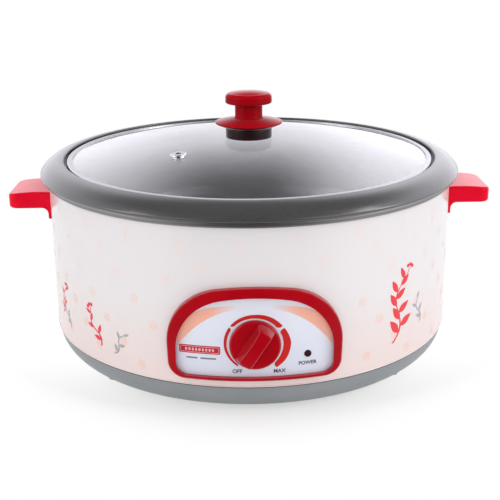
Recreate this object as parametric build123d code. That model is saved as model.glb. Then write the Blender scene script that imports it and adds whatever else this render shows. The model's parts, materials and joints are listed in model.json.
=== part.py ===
from build123d import *
import math
import os

# Electric hot pot with a glass lid. Millimetres, +Z up, origin on the table under the
# middle of the pot, the dial faces -Y.

# ---- driving dimensions ----
# clearances
fit_gap = 0.3               # between a lifted piece and its seat
slip = 0.05                 # radial clearance of a running fit
screw_gap = 0.2             # radial clearance of a screw in its hole
hole_gap = 1.0              # round a part that only passes through a hole
overrun = 1.0               # how far a cut runs past the face it opens

# screws: shank radius, head radius, head height
m3 = (1.5, 2.8, 2.0)
m4 = (2.0, 3.6, 2.6)
m5 = (2.5, 4.2, 3.0)
screw_bite = 8.0            # length of a screw inside the piece that it holds

# pot
pot_inner_radius = 143.0
pot_wall = 2.2
pot_corner = 24.0
seat_step = 8.2             # width of the ledge that the lid rests on
collar_height = 7.0         # from that ledge to the collar's inner edge
collar_edge = 1.0
collar_bulge = 2.4          # of its sloping top
lip_height = 2.6
lip_round = 1.2
lip_overhang = 3.6          # how far the lip stands out past the trim ring

# shell and its trim ring
air_gap = 17.8              # between the pot's wall and the shell
shell_wall = 0.8
shell_height = 121.1
flange_width = 19.0         # turned-in flange at the wall's foot
trim_height = 4.8
trim_cap = 2.4              # how much of the ring lies above the wall's edge
trim_proud = 2.8
trim_lap = 5.3
trim_round = 1.9
trim_gap = 0.1
seat_rise = 4.5             # from the ring's top to the lid's ledge

# base
feet_height = 3.0
foot_radius = 9.0
foot_inset = 24.8
foot_plug_radius = 5.0
base_height = 18.9
base_wall = 2.6
base_setback = 0.6          # the base's top edge inside the shell's face
base_taper = 10.4
base_edge = 1.5
base_boss_inset = 13.8
base_boss_radius = 5.6
nut_radius = 4.2
nut_height = 3.6
vent_count = 24
vent_inner = 56.0
vent_length = 24.0
vent_width = 4.0

# lid
lid_gap = 2.2               # between the lid's rim and the collar
lid_rim_width = 4.4
lid_rim_height = 5.5
lid_rim_wall = 1.4
lid_rim_lip = 0.7           # sheet above and below the glass's edge
lid_rim_round = 1.3
glass_gap = 0.1
glass_thickness = 4.0
glass_lap = 0.5
dome_rise = 14.8
vent_radius = 75.2
vent_angle = 222.3
vent_hole = 2.2
grommet_wall = 2.0
grommet_lip = 1.2
grommet_lip_width = 2.0

# lid knob, heights above the glass at its middle
knob_base_radius = 18.9
knob_base_height = 8.3
knob_base_round = 2.4
knob_disc_radius = 27.7
knob_disc_height = 7.0
knob_disc_edge = 1.2
knob_stem_radius = 11.3
knob_stem_height = 11.8
knob_top_radius = 19.2
knob_top_height = 10.0
crown_rise = 1.5
crown_inset = 4.1
insert_radius = 4.5
insert_length = 14.0
insert_sink = 0.5
gasket_radius = 10.0
gasket_thickness = 1.0
washer_radius = 9.0
washer_thickness = 1.2

# side handles
handle_length = 33.2
handle_width = 50.0
handle_drop = 26.0          # from the wall's edge down to the handle's underside
handle_thick = 13.2
handle_leg = 3.0
handle_leg_height = 8.6
handle_corner = 8.0
handle_fillet = 5.0
handle_edge = 2.2
handle_slope = 1.4
handle_screw_spread = 26.0
handle_plate_wall = 1.2
handle_plate_height = 12.0
handle_plate_margin = 8.0
handle_pad_height = 1.2

# control panel; each outline wraps round four circles, given on the right side as
# (x, height above the dial's axis, radius), and its top rises a little to the middle
panel_crown = 1.5
bezel_shoulder = (20.5, -1.7, 42.0)
bezel_foot = (50.0, -15.9, 12.0)
window_shoulder = (16.0, -6.5, 40.0)
window_foot = (48.0, -17.3, 8.0)
bezel_proud = 5.2           # how far the frame stands out of the wall
bezel_edge = 1.6
face_thickness = 1.6
bracket_depth = 14.8        # from the shell's face to the flat bracket behind it
bracket_wall = 1.2
bracket_margin = 3.0
bracket_corner = 4.0
boss_radius = 2.6
boss_bore = 1.2
boss_gap = 0.4
boss_skin = 2.4
boss_rise = 3.4
panel_screw_length = 6.2
lamp_x = 37.3
lamp_drop = 9.9
lamp_radius = 2.6
lamp_proud = 0.9
lamp_length = 4.9
holder_radius = 3.5
holder_flange = 4.6
holder_length = 6.0
bulb_tip_radius = 1.9

# dial and thermostat
dial_rise = 34.6            # from the wall's foot to the dial's axis
dial_radius = 18.15
dial_skirt = 4.2
dial_grip_width = 8.6
dial_grip_height = 9.6
dial_grip_inset = 0.6
dial_grip_crown = 62.0
dial_grip_draft = 3.2         # how much wider the grip is at its root, each side
dial_grip_lean = 3.9          # how far its ends lean in
dial_skirt_round = 2.0
dial_grip_round = 1.6
dial_off_angle = 213.0      # clockwise from the top, seen from the front
dial_air = 0.9              # between the dial and the face plate
dial_hub_wall = 0.9
dial_bore_depth = 9.2
shaft_radius = 3.0
shaft_flat = 0.8
shaft_hole_gap = 2.0
clip_wall = 1.0
clip_length = 2.6
clip_air = 0.2
bushing_radius = 5.0
bushing_length = 6.5
nut_across = 14.0
nut_thick = 2.6
thermostat_size = (36.0, 24.0, 27.0)
thermostat_corner = 2.0
shaft_depth = 8.0
blade = (6.3, 8.0, 0.8)
blade_x = 10.0

# heater
works_height = 66.2         # from the base's floor to the pot's underside
heater_inset = 38.0         # the heater's edge inside the pot's wall
heater_thick = 6.0
heater_edge = 1.0
element_inset = 30.0
element_radius = 4.0
element_sweep = 312.0
rib_width = 12.0
rib_height = 7.0
thread_depth = 4.0
post_inset = 10.0
post_radius = 4.0
post_foot_wall = 1.5
post_angles = (90.0, 210.0, 330.0)
post_seat_height = 8.4
post_seat_wall = 3.0
shield_drop = 10.5          # from the heater's rib down to the shield
shield_wall = 0.8
shield_margin = 7.0
shield_lip = 8.0
cold_end = 12.0
bead_length = 4.0
bead_wall = 1.5
tab_radius = 1.5
tab_length = 8.0
sensor_gap = 0.1
bulb_radius = 3.0
bulb_length = 50.0
bulb_inset = 35.0           # the bulb's line inside the element's circle
bulb_clip_x = -14.0
bulb_clip_width = 9.0
bulb_round = 0.8
tube_radius = 0.8
tube_bend = 4.0
fuse_radius = 2.2
fuse_length = 14.0
fuse_x = 14.0
fuse_inset = 33.0
fuse_clip_width = 7.0
fuse_round = 0.6
clip_sheet = 0.8
clip_tail = 4.0
clip_bolt_gap = 6.0         # from the held body's side to the clip's screw
lead_hole_radius = 4.0
lead_hole_x = (0.0, 40.0)   # where the fuse's leads pass the heat shield
lead_hole_inset = (17.0, 11.0)
wire_radius = 1.3
wire_bend = 6.0
wire_tight = 2.0            # bend where a wire meets a small terminal
wire_rise = 5.0             # of the wires above the base's floor
wire_lane = 51.0            # how far to the side the live wire runs
wire_back = 17.0            # from the inlet's pins to where the wires part
lamp_wire_radius = 0.9

# mains inlet at the back
inlet_rise = 38.1
inlet_size = (28.0, 21.0)
inlet_chamfer = 4.0
inlet_wall = 1.8
inlet_corner = 2.5
inlet_depth = 17.0
inlet_hood = (46.0, 32.0)
inlet_hood_corner = 6.0
inlet_hood_edge = 1.5
inlet_pin = (2.0, 4.0, 12.5)
inlet_pin_x = 7.0
inlet_pin_z = 2.0
inlet_tail = 6.0
inlet_screw_spread = 37.0
earth_inset = 7.0


# ---- worked out from the values above ----
pot_outer_radius = pot_inner_radius + pot_wall
shell_inner = pot_outer_radius + air_gap
shell_radius = shell_inner + shell_wall
trim_inner = shell_radius - trim_lap
trim_outer = shell_radius + trim_proud
rim_lip_radius = trim_outer + lip_overhang
seat_radius = pot_inner_radius + seat_step
collar_under_radius = seat_radius + pot_wall

shell_foot_z = feet_height + base_height
shell_top_z = shell_foot_z + shell_height
trim_top_z = shell_top_z + trim_cap
trim_under_z = trim_top_z - trim_height
seat_z = trim_top_z + seat_rise
rim_top_z = seat_z + collar_height
base_floor_z = feet_height + base_wall
pot_under_z = base_floor_z + works_height
pot_floor_z = pot_under_z + pot_wall
base_top_radius = shell_radius - base_setback
base_bottom_radius = base_top_radius - base_taper
base_boss_circle = shell_radius - base_boss_inset
foot_circle = base_bottom_radius - foot_inset
flange_inner = shell_radius - flange_width

lid_z = seat_z + fit_gap
lid_rim_outer = seat_radius - lid_gap
lid_rim_inner = lid_rim_outer - lid_rim_width
lid_rim_top = lid_z + lid_rim_height
glass_edge = lid_rim_outer - lid_rim_wall - glass_gap
glass_top_edge = lid_rim_top - lid_rim_lip - glass_gap
glass_apex = glass_top_edge + dome_rise
glass_low_apex = glass_apex - glass_thickness
dome_radius = (lid_rim_inner ** 2 + dome_rise ** 2) / (2 * dome_rise)
knob_disc_z = glass_apex + knob_base_height
knob_stem_z = knob_disc_z + knob_disc_height
knob_cap_z = knob_stem_z + knob_stem_height
knob_top_z = knob_cap_z + knob_top_height

handle_bottom_z = shell_top_z - handle_drop
handle_root_z = handle_bottom_z + handle_thick
handle_middle_z = handle_bottom_z + handle_thick / 2
handle_reach = shell_radius + handle_length
handle_screw_y = handle_screw_spread / 2

heater_radius = pot_inner_radius - heater_inset
element_circle = heater_radius - element_inset
post_circle = heater_radius - post_inset
bulb_y = bulb_inset - element_circle
fuse_y = element_circle - fuse_inset
lead_holes = [(x, math.sqrt((element_circle - inset) ** 2 - x ** 2))
              for x, inset in zip(lead_hole_x, lead_hole_inset)]
heater_top_z = pot_under_z - fit_gap
heater_under_z = heater_top_z - heater_thick
rib_under_z = heater_under_z - rib_height
element_z = rib_under_z + element_radius
element_start = 90 + (360 - element_sweep) / 2
shield_z = rib_under_z - shield_drop
shield_radius = heater_radius + shield_margin
bead_z = shield_z - cold_end
tab_z = bead_z - bead_length - tab_length
post_seat_z = base_floor_z + post_seat_height

dial_z = shell_foot_z + dial_rise
face_radius = shell_radius + face_thickness
bezel_radius = shell_radius + bezel_proud
bracket_y = bracket_depth - shell_radius
bracket_back_y = bracket_y + bracket_wall
dial_back_y = -face_radius - dial_air
dial_front_y = dial_back_y - dial_skirt
dial_tip_y = dial_front_y - dial_grip_height
hub_end_y = -shell_radius - boss_gap
lamp_z = dial_z - lamp_drop
thermostat_back_y = bracket_back_y + thermostat_size[1]
thermostat_low_z = dial_z - thermostat_size[2] / 2
blade_y = (bracket_back_y + thermostat_back_y) / 2
blade_z = thermostat_low_z - blade[1]

inlet_z = shell_foot_z + inlet_rise
inlet_front_y = -dial_tip_y              # the inlet's hood stands out as far as the dial
inlet_floor_y = inlet_front_y - inlet_depth
inlet_back_y = inlet_floor_y - inlet_wall
far = 2 * rim_lip_radius    # beyond every face, for cuts that go right through
parts = {}


# ---- helpers ----
def profile(points):
    """Closed (radius, height) outline; three points in a tuple make an arc."""
    edges = []
    here = points[0]
    for step in points[1:]:
        if isinstance(step[0], tuple):
            edges.append(ThreePointArc(here, step[0], step[1]))
            here = step[1]
        elif step != here:
            edges.append(Line(here, step))
            here = step
    if here != points[0]:
        edges.append(Line(here, points[0]))
    return Plane.XZ * make_face(edges)


def turned(points, angle=360.0):
    """Body of revolution about Z of a (radius, height) outline."""
    return revolve(profile(points), Axis.Z, angle)


def ring(inner, outer, low, high):
    """Upright pipe between two radii and two heights."""
    return turned([(inner, low), (outer, low), (outer, high), (inner, high)])


def rod(radius, low, high, x=0.0, y=0.0):
    """Upright cylinder from height low to high."""
    return Pos(x, y, low) * Cylinder(radius, high - low, align=(Align.CENTER, Align.CENTER, Align.MIN))


def rod_x(radius, length, x, y, z):
    """Cylinder along X about its middle."""
    return Pos(x, y, z) * Rot(Y=90) * Cylinder(radius, length)


def rod_y(radius, start, end, x, z):
    """Cylinder along Y from start to end."""
    middle = (start + end) / 2
    return Pos(x, middle, z) * Rot(X=90) * Cylinder(radius, abs(end - start))


def bore_y(radius, side, x, z):
    """Cylinder along Y that cuts everything on one side of the middle."""
    return rod_y(radius, side * pot_inner_radius / 2, side * far, x, z)


def block(x0, x1, y0, y1, z0, z1):
    """Box between two corners, in any order along Y."""
    return Pos((x0 + x1) / 2, (y0 + y1) / 2, (z0 + z1) / 2) * Box(x1 - x0, abs(y1 - y0), z1 - z0)


def panel_spot(spot):
    """Turns an outline's circle, given from the dial's axis, into one in the part's frame."""
    x, above, radius = spot
    return x, dial_z + above, radius


def loaf_outline(shoulder, foot):
    """Loaf-shaped outline in X and Z, wrapped round two big and two small circles."""
    big_x, big_z, big = panel_spot(shoulder)
    small_x, small_z, small = panel_spot(foot)
    apart = math.hypot(big_x - small_x, big_z - small_z)
    towards = math.atan2(big_z - small_z, big_x - small_x)
    lean = towards - math.acos((small - big) / apart)

    def on_arc(side, x, z, radius, angle):
        return (side * (x + radius * math.cos(angle)), z + radius * math.sin(angle))

    top = math.atan2((big_x ** 2 - panel_crown ** 2) / (2 * panel_crown), big_x)
    ends = [on_arc(side, big_x, big_z, big, top) for side in (-1, 1)]
    edges = [ThreePointArc(ends[0], (0, big_z + big + panel_crown), ends[1]),
             Line((-small_x, small_z - small), (small_x, small_z - small))]
    for side in (-1, 1):
        low = -math.pi / 2
        upper = [on_arc(side, big_x, big_z, big, a) for a in (top, (top + lean) / 2, lean)]
        lower = [on_arc(side, small_x, small_z, small, a) for a in (lean, (lean + low) / 2, low)]
        edges += [ThreePointArc(*upper), ThreePointArc(*lower), Line(upper[2], lower[0])]
    return make_face(edges)


def curved_slab(outline, inner, outer):
    """The outline pushed along -Y, kept between two radii of the body."""
    return Plane.XZ * extrude(outline, far) & ring(inner, outer, 0, shell_top_z)


def tube(points, radius, bend):
    """Round wire along a route of straight runs joined by arcs."""
    path = FilletPolyline(*points, radius=bend)
    return sweep(Plane(origin=path @ 0, z_dir=path % 0) * Circle(radius), path=path)


def screw(size, length):
    """Pan-head screw: the head's underside at the origin, the shank along +Z."""
    shank, head, height = size
    cap = rod(head, -height, 0)
    cap = fillet(cap.edges().group_by(Axis.Z)[0], height * 0.45)
    cap -= Pos(0, 0, -height) * Box(head * 1.3, head * 0.3, height * 0.8)
    cap -= Pos(0, 0, -height) * Box(head * 0.3, head * 1.3, height * 0.8)
    return cap + rod(shank, 0, length)


def around(count, start, radius, piece):
    """Copies of a piece spaced evenly about Z."""
    return [Rot(Z=start + i * 360 / count) * Pos(radius, 0, 0) * piece for i in range(count)]


def keep(name, shape):
    """Files a node; a list becomes a group of separate solids."""
    parts[name] = Compound(children=list(shape)) if isinstance(shape, (list, tuple)) else shape


# ---- base ----
def make_base():
    rise = shell_foot_z - feet_height
    curve = (base_taper ** 2 + rise ** 2) / (2 * base_taper)
    inner_curve = curve - base_wall
    centre = base_top_radius - curve
    half = math.asin(rise / curve) / 2
    inner_low = math.asin((shell_foot_z - base_floor_z) / inner_curve)
    inner_mid = inner_low / 2
    dish = turned([
        (0, feet_height),
        (base_bottom_radius, feet_height),
        ((centre + curve * math.cos(half), shell_foot_z - curve * math.sin(half)),
         (base_top_radius, shell_foot_z)),
        (base_top_radius - base_wall, shell_foot_z),
        ((centre + inner_curve * math.cos(inner_mid), shell_foot_z - inner_curve * math.sin(inner_mid)),
         (centre + inner_curve * math.cos(inner_low), base_floor_z)),
        (0, base_floor_z),
    ])
    dish = fillet(dish.edges().filter_by(GeomType.CIRCLE).group_by(Axis.Z)[0], base_edge)
    inside = feet_height + base_wall / 2
    head_z = base_floor_z + m4[2]
    dish += around(4, 45, base_boss_circle, rod(base_boss_radius, inside, shell_foot_z))
    dish += around(3, post_angles[0], post_circle, rod(post_radius + post_seat_wall, inside, post_seat_z))
    head_hole = rod(m4[1] + hole_gap, 0, head_z) + rod(m4[0] + screw_gap, 0, shell_foot_z + overrun)
    slot = extrude(SlotOverall(vent_length, vent_width), base_floor_z + overrun)
    cuts = around(4, 45, base_boss_circle, head_hole) + around(3, post_angles[0], post_circle, head_hole)
    cuts += around(vent_count, 180 / vent_count, vent_inner + vent_length / 2, slot)
    cuts += around(4, 45, foot_circle, rod(foot_plug_radius, 0, base_floor_z + overrun))
    for piece in cuts:
        dish -= piece
    keep("base_tray", dish)

    foot = rod(foot_radius, 0, feet_height)
    foot = fillet(foot.edges().group_by(Axis.Z)[0], feet_height / 4)
    foot += rod(foot_plug_radius, feet_height / 2, base_floor_z)
    keep("rubber_feet", around(4, 45, foot_circle, foot))

    nut_z = shell_foot_z + shell_wall
    long_screw = Pos(0, 0, head_z) * screw(m4, nut_z + nut_height - head_z)
    keep("base_screws", around(4, 45, base_boss_circle, long_screw))
    nut = rod(nut_radius, nut_z, nut_z + nut_height) - rod(m4[0] + slip, 0, shell_top_z)
    keep("shell_nuts", around(4, 45, base_boss_circle, nut))


# ---- shell and its trim ----
def make_shell():
    flange_top = shell_foot_z + shell_wall
    wall = turned([
        (flange_inner, shell_foot_z), (shell_radius, shell_foot_z), (shell_radius, shell_top_z),
        (shell_inner, shell_top_z), (shell_inner, flange_top), (flange_inner, flange_top),
    ])
    holes = around(4, 45, base_boss_circle, rod(m4[0] + screw_gap, 0, pot_floor_z))
    holes.append(rod(m3[0] + slip, 0, pot_floor_z, 0, flange_inner + earth_inset))
    holes.append(bore_y(shaft_radius + shaft_hole_gap, -1, 0, dial_z))
    holes.append(bore_y(lamp_radius + screw_gap, -1, lamp_x, lamp_z))
    holes += [bore_y(boss_radius + boss_gap, -1, x, z) for x, z in boss_places()]
    for side in (-1, 1):
        for y in (-handle_screw_y, handle_screw_y):
            across = 4 * handle_leg
            holes.append(rod_x(m4[0] + screw_gap, across, side * shell_radius, y, handle_middle_z))
        holes.append(bore_y(m3[0] + screw_gap, 1, side * inlet_screw_spread / 2, inlet_z))
    half_x = inlet_size[0] / 2 + inlet_wall + fit_gap
    half_z = inlet_size[1] / 2 + inlet_wall + fit_gap
    holes.append(block(-half_x, half_x, pot_inner_radius, far, inlet_z - half_z, inlet_z + half_z))
    for hole in holes:
        wall -= hole
    keep("outer_shell", wall)

    trim = ring(trim_inner, trim_outer, trim_under_z, trim_top_z)
    outside = trim.edges().filter_by(GeomType.CIRCLE).group_by(SortBy.RADIUS)[-1]
    trim = fillet(outside, trim_round)
    trim -= ring(shell_inner - trim_gap, shell_radius + trim_gap, 0, shell_top_z)
    keep("trim_ring", trim)


# ---- pot ----
def make_pot():
    corner_out = pot_corner + pot_wall
    flat = pot_inner_radius - pot_corner
    turn = math.sqrt(0.5)
    corner_z = pot_floor_z + pot_corner
    edge = collar_edge
    lip_top = trim_top_z + lip_height
    crest, foot = (seat_radius + edge, rim_top_z), (rim_lip_radius - lip_round / 4, lip_top)
    slope = math.dist(crest, foot)
    slope_r = (crest[0] + foot[0]) / 2 + collar_bulge * (crest[1] - foot[1]) / slope
    slope_z = (crest[1] + foot[1]) / 2 + collar_bulge * (foot[0] - crest[0]) / slope
    step_z = seat_z - pot_wall
    keep("inner_pot", turned([
        (0, pot_floor_z), (flat, pot_floor_z),
        ((flat + pot_corner * turn, corner_z - pot_corner * turn), (pot_inner_radius, corner_z)),
        (pot_inner_radius, seat_z), (seat_radius, seat_z), (seat_radius, rim_top_z - edge),
        ((seat_radius + edge * (1 - turn), rim_top_z - edge * (1 - turn)), crest),
        ((slope_r, slope_z), foot),
        ((rim_lip_radius, trim_top_z + lip_round), (rim_lip_radius - lip_round, trim_top_z)),
        (collar_under_radius, trim_top_z), (collar_under_radius, step_z),
        (pot_outer_radius, step_z), (pot_outer_radius, corner_z),
        ((flat + corner_out * turn, corner_z - corner_out * turn), (flat, pot_under_z)),
        (0, pot_under_z),
    ]))


# ---- lid ----
def sag(radius, curve):
    """How far a dome of that curve has dropped at a radius."""
    return curve - math.sqrt(curve ** 2 - radius ** 2)


def dome_height(radius, top):
    """Height of the glass dome's surface at a radius, where its middle is at top."""
    return top - sag(radius, dome_radius)


def make_lid():
    inner_edge = lid_rim_inner - glass_lap
    half = inner_edge / 2
    glass = turned([
        (0, glass_low_apex),
        ((half, dome_height(half, glass_low_apex)), (inner_edge, dome_height(inner_edge, glass_low_apex))),
        (glass_edge, lid_z + lid_rim_lip + glass_gap),
        (glass_edge, glass_top_edge),
        (inner_edge, dome_height(inner_edge, glass_apex)),
        ((half, dome_height(half, glass_apex)), (0, glass_apex)),
    ])
    angle = math.radians(vent_angle)
    vent_x, vent_y = vent_radius * math.cos(angle), vent_radius * math.sin(angle)
    vent_z = dome_height(vent_radius, glass_apex)
    tilt = math.degrees(math.asin(vent_radius / dome_radius))
    at_vent = Pos(vent_x, vent_y, vent_z) * Rot(Z=vent_angle) * Rot(Y=tilt)
    sleeve = vent_hole + grommet_wall
    glass -= at_vent * Cylinder(sleeve, 6 * glass_thickness)
    glass -= rod(m5[0] + hole_gap, lid_z, knob_disc_z)
    keep("lid_glass", glass)

    low = -glass_thickness - screw_gap
    lip_radius = sleeve + grommet_lip_width
    top_lip = rod(lip_radius, screw_gap, screw_gap + grommet_lip)
    top_lip = fillet(top_lip.edges().group_by(Axis.Z)[-1], grommet_lip * 0.7)
    spool = rod(sleeve - slip, low, screw_gap + grommet_lip) + rod(lip_radius, low - grommet_lip, low)
    keep("vent_grommet", at_vent * (spool + top_lip - Cylinder(vent_hole, 6 * glass_thickness)))

    band = ring(lid_rim_inner, lid_rim_outer, lid_z, lid_rim_top)
    outside = band.edges().filter_by(GeomType.CIRCLE).group_by(SortBy.RADIUS)[-1]
    band = fillet(outside, lid_rim_round)
    groove = lid_rim_outer - lid_rim_wall
    band -= ring(lid_rim_inner - overrun, groove, lid_z + lid_rim_lip, lid_rim_top - lid_rim_lip)
    band -= glass
    keep("lid_rim", band)


def make_knob():
    seat_apex = glass_apex + slip
    half = knob_base_radius / 2
    edge = knob_base_round
    turn = edge * (1 - math.sqrt(0.5))
    base = turned([
        (0, seat_apex),
        ((half, dome_height(half, seat_apex)), (knob_base_radius, dome_height(knob_base_radius, seat_apex))),
        (knob_base_radius, knob_disc_z - edge),
        ((knob_base_radius - turn, knob_disc_z - turn), (knob_base_radius - edge, knob_disc_z)),
        (0, knob_disc_z),
    ])
    base -= rod(m5[0] + screw_gap, lid_z, knob_disc_z + overrun)
    keep("knob_base", base)

    edge_z = knob_disc_z + knob_disc_height / 2
    insert_z = knob_disc_z + insert_sink
    bore_z = insert_z + insert_length
    disc, stem, top = knob_disc_radius, knob_stem_radius, knob_top_radius
    under_z, over_z = edge_z - knob_disc_edge / 2, edge_z + knob_disc_edge / 2
    shoulder_z = knob_cap_z + 0.2 * knob_top_height
    crown_z = knob_top_z - 0.39 * knob_top_height
    crown_edge = top - crown_inset
    crown_curve = (crown_edge ** 2 + crown_rise ** 2) / (2 * crown_rise)
    keep("lid_knob", turned([
        (0, bore_z), (insert_radius, bore_z), (insert_radius, knob_disc_z),
        (knob_base_radius + 1.2, knob_disc_z),
        ((disc - 4.0, (knob_disc_z + under_z) / 2 - 0.2), (disc - 0.5, under_z)),
        ((disc, edge_z), (disc - 0.5, over_z)),
        (((disc + stem) / 2, (over_z + knob_stem_z) / 2 + 0.3), (stem + 2.0, knob_stem_z)),
        ((stem + 0.6, knob_stem_z + 0.6), (stem, knob_stem_z + 2.0)),
        (stem, knob_cap_z - 1.4),
        ((stem + 0.4, knob_cap_z - 0.4), (stem + 1.4, knob_cap_z)),
        (top - 1.2, knob_cap_z + 0.5),
        ((top - 0.3, knob_cap_z + 1.0), (top, shoulder_z)),
        (top - 0.2, crown_z),
        ((top - 1.4, (crown_z + knob_top_z - crown_rise) / 2 + 0.4), (crown_edge, knob_top_z - crown_rise)),
        ((crown_edge / 2, knob_top_z - sag(crown_edge / 2, crown_curve)), (0, knob_top_z)),
    ]))

    insert = rod(insert_radius, insert_z, bore_z)
    insert -= rod(m5[0] + slip, lid_z, bore_z - m5[0])
    keep("knob_insert", insert)

    gasket_top = dome_height(gasket_radius, glass_low_apex)
    washer_top = gasket_top - gasket_thickness
    head_z = washer_top - washer_thickness
    hole = rod(m5[0] + screw_gap, 0, glass_apex)
    keep("knob_gasket", rod(gasket_radius, washer_top, gasket_top) - hole)
    keep("knob_washer", rod(washer_radius, head_z, washer_top) - hole)
    keep("knob_screw", Pos(0, 0, head_z) * screw(m5, insert_z + screw_bite - head_z))


# ---- side handles ----
def make_handle(name, turn):
    inner = shell_radius - handle_leg
    leg_x = math.sqrt(shell_radius ** 2 - (handle_width / 2) ** 2) + handle_leg
    root_x = leg_x + handle_fillet
    leg_z = handle_bottom_z - handle_leg_height
    bend = handle_fillet * (1 - math.sqrt(0.5))
    tip_z = handle_root_z - handle_slope
    crest = ((inner + handle_reach) / 2, handle_root_z + handle_slope / 4)
    outline = Plane.XZ * make_face([
        Line((inner, leg_z), (leg_x, leg_z)),
        Line((leg_x, leg_z), (leg_x, handle_bottom_z - handle_fillet)),
        ThreePointArc((leg_x, handle_bottom_z - handle_fillet), (leg_x + bend, handle_bottom_z - bend),
                      (root_x, handle_bottom_z)),
        Line((root_x, handle_bottom_z), (handle_reach, handle_bottom_z)),
        Line((handle_reach, handle_bottom_z), (handle_reach, tip_z)),
        ThreePointArc((handle_reach, tip_z), crest, (inner, handle_root_z)),
        Line((inner, handle_root_z), (inner, leg_z)),
    ])
    body = Pos(0, handle_width / 2, 0) * extrude(outline, handle_width)
    body = fillet(body.edges().filter_by(Axis.Z).group_by(Axis.X)[-1], handle_corner)
    body -= rod(shell_radius, 0, shell_top_z)
    rim = [edge for edge in body.edges()
           if edge.center().X > root_x and edge.bounding_box().size.Z < handle_thick / 4]
    body = fillet(rim, handle_edge)
    for y in (-handle_screw_y, handle_screw_y):
        body -= rod_x(m4[0] + slip, 3 * screw_bite, shell_radius, y, handle_middle_z)
    keep(name, Rot(Z=turn) * body)


def make_handle_hardware():
    plate_inner = shell_inner - handle_plate_wall
    head_x = plate_inner - handle_pad_height
    low, high = handle_middle_z - handle_plate_height / 2, handle_middle_z + handle_plate_height / 2
    half = handle_screw_y + handle_plate_margin
    inside = rod((plate_inner + shell_inner) / 2, 0, shell_top_z)
    strip = ring(plate_inner, shell_inner, low, high) & block(0, far, -half, half, low, high)
    fixings = []
    for y in (-handle_screw_y, handle_screw_y):
        length = shell_radius + screw_bite - head_x
        fixings.append(Pos(head_x, y, handle_middle_z) * Rot(Y=90) * screw(m4, length))
        pad = rod_x(m4[1] + m4[0] / 2, 2 * m4[2], head_x + m4[2], y, handle_middle_z)
        strip += pad & inside
    for y in (-handle_screw_y, handle_screw_y):
        strip -= rod_x(m4[0] + screw_gap, 4 * m4[1], head_x, y, handle_middle_z)
    keep("handle_screws", [Rot(Z=turn) * piece for turn in (0, 180) for piece in fixings])
    keep("handle_plates", [Rot(Z=turn) * strip for turn in (0, 180)])


# ---- control panel ----
def boss_places():
    """Where the frame is screwed on: twice at the sides of its foot and twice at its top."""
    side_x = (bezel_foot[0] + bezel_foot[2] + window_foot[0] + window_foot[2]) / 2
    side_z = dial_z + bezel_foot[1] + boss_rise
    top_x = bezel_shoulder[0]
    top_z = dial_z + (bezel_shoulder[1] + bezel_shoulder[2] + window_shoulder[1] + window_shoulder[2]) / 2
    return [(-side_x, side_z), (side_x, side_z), (-top_x, top_z), (top_x, top_z)]


def make_panel():
    places = boss_places()
    frame = curved_slab(loaf_outline(bezel_shoulder, bezel_foot), shell_radius, bezel_radius)
    window = loaf_outline(window_shoulder, window_foot)
    rim = frame.faces().sort_by(Axis.Y)[0].outer_wire().edges()
    frame = fillet(rim, bezel_edge)
    frame -= curved_slab(window, shell_inner, 2 * bezel_radius)
    for x, z in places:
        wall_y = -math.sqrt(shell_radius ** 2 - x ** 2)
        frame += rod_y(boss_radius, wall_y - bezel_edge, bracket_y, x, z)
        frame -= rod_y(boss_bore, wall_y - boss_skin, bracket_back_y, x, z)
    keep("panel_bezel", frame)

    plate = curved_slab(window, shell_radius, face_radius)
    plate -= bore_y(shaft_radius + hole_gap, -1, 0, dial_z)
    plate -= bore_y(lamp_radius + slip, -1, lamp_x, lamp_z)
    keep("face_plate", plate)

    half = places[1][0] + bracket_margin
    low, high = places[1][1] - 4 * bracket_margin, places[3][1] + bracket_margin
    bracket = block(-half, half, bracket_y, bracket_back_y, low, high)
    bracket = fillet(bracket.edges().filter_by(Axis.Y), bracket_corner)
    bracket -= bore_y(bushing_radius + screw_gap, -1, 0, dial_z)
    bracket -= bore_y(holder_radius + slip, -1, lamp_x, lamp_z)
    for x, z in places:
        bracket -= bore_y(m3[0] + screw_gap, -1, x, z)
    keep("panel_bracket", bracket)
    fixing = Rot(X=90) * screw((boss_bore - slip, m3[1], m3[2]), panel_screw_length)
    keep("panel_screws", [Pos(x, bracket_back_y, z) * fixing for x, z in places])

    front = -math.sqrt(face_radius ** 2 - lamp_x ** 2)
    tip, end = front - lamp_proud, front + lamp_length - lamp_proud
    lens = rod_y(lamp_radius, tip, end, lamp_x, lamp_z)
    lens = fillet(lens.edges().group_by(Axis.Y)[0], lamp_proud - screw_gap / 2)
    tail = (end + bracket_y) / 2
    keep("lamp_lens", lens)
    holder = rod_y(holder_radius, tail, bracket_back_y + holder_length, lamp_x, lamp_z)
    holder += rod_y(holder_flange, bracket_back_y, bracket_back_y + holder_length, lamp_x, lamp_z)
    holder += rod_y(bulb_tip_radius, end + screw_gap, tail, lamp_x, lamp_z)
    keep("indicator_lamp", holder)


# ---- dial and thermostat ----
def dial_turn(piece):
    """Turns a piece drawn pointing up to the dial's OFF place."""
    return Pos(0, 0, dial_z) * Rot(Y=dial_off_angle) * Pos(0, 0, -dial_z) * piece


def shaft_flat_block(end):
    """What the flat takes off the shaft, from its tip to a place along Y."""
    flat_z = dial_z + shaft_radius - shaft_flat
    return block(-2 * shaft_radius, 2 * shaft_radius, -far, end, flat_z, flat_z + dial_radius)


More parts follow.
